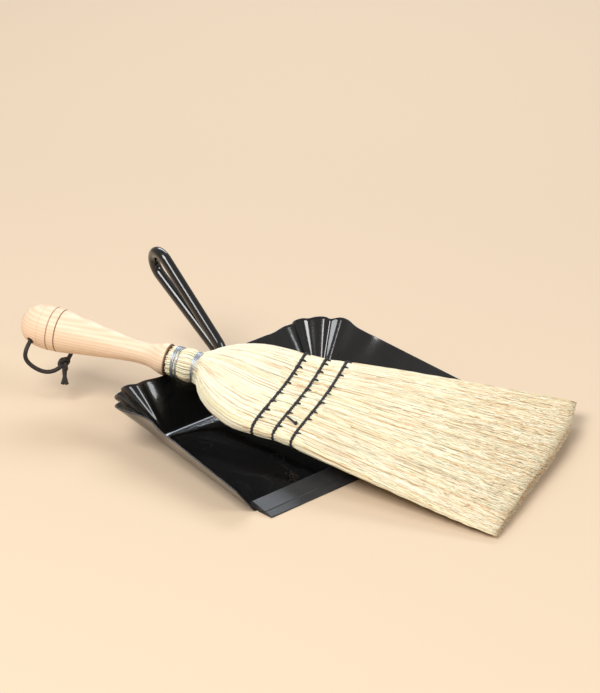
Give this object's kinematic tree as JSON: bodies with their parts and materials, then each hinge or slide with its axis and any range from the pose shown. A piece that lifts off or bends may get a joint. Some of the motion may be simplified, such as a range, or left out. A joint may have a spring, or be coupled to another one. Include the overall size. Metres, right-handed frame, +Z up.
{
  "type": "dust pan and brush set",
  "caption": "Black sheet-steel dust pan with fluted rear corners, rubber lip and rod loop handle, with a stitched straw hand broom on a turned wooden handle lying across it.",
  "frame": {"origin": "middle of the pan's width on its flat underside", "axes": "+Z up, X along the pan's lip, +Y towards the pan's rear wall and handle loop"},
  "size_m": [0.3006, 0.4326, 0.1012],
  "materials": {
    "black_enamel": "glossy black paint on sheet steel",
    "grey_rubber": "satin dark grey rubber",
    "beech": "oiled pale beech with burnt grooves",
    "black_leather": "matte black leather",
    "straw": "dry broomcorn straw",
    "galvanised_wire": "dull galvanised wire",
    "black_twine": "waxed black twine"
  },
  "bodies": {
    "pan": {"pan_shell": "black_enamel", "lip_strip": "grey_rubber", "handle_loop": "black_enamel", "handle_welds": "black_enamel"},
    "broom": {"wooden_handle": "beech", "hanging_thong": "black_leather", "thong_knot": "black_leather", "collar_straw": "straw", "upper_wire": "galvanised_wire", "neck_wire": "galvanised_wire", "cover_upper": "straw", "cover_lower": "straw", "head_core": "straw", "shoulder_near": "straw", "shoulder_far": "straw", "stitch_twine_1": "black_twine", "stitch_twine_2": "black_twine", "stitch_twine_3": "black_twine", "lock_stitches": "black_twine", "twine_tail": "black_twine"}
  },
  "joints": [
    {"name": "broom_lift", "type": "slide", "parent": "pan", "child": "broom", "axis": [0, 0, 1], "range_m": [0, 0.2]}
  ]
}
